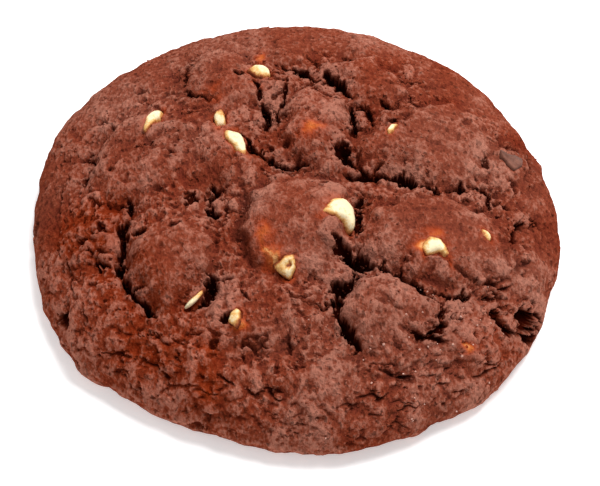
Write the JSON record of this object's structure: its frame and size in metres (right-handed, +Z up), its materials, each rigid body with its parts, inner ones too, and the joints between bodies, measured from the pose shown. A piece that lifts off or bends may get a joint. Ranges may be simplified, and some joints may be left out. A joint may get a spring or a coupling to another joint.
{
  "type": "chocolate cashew cookie",
  "caption": "Thick round chocolate cookie with a domed, cracked and lumpy top, chopped cashew and dark chocolate chunks in the crust, and a flat underside.",
  "frame": {"origin": "middle of the flat underside, below the middle of the outline's box", "axes": "+Z up out of the domed top, -Y towards the front of the cookie as pictured, +X to its right"},
  "size_m": [0.0874, 0.0886, 0.0178],
  "materials": {
    "baked_dough": "dry, matt, crumbly brown chocolate crust; cream cashew pieces and dark chocolate chunks lie in it"
  },
  "bodies": {
    "root": {"cookie": "baked_dough"}
  },
  "joints": []
}
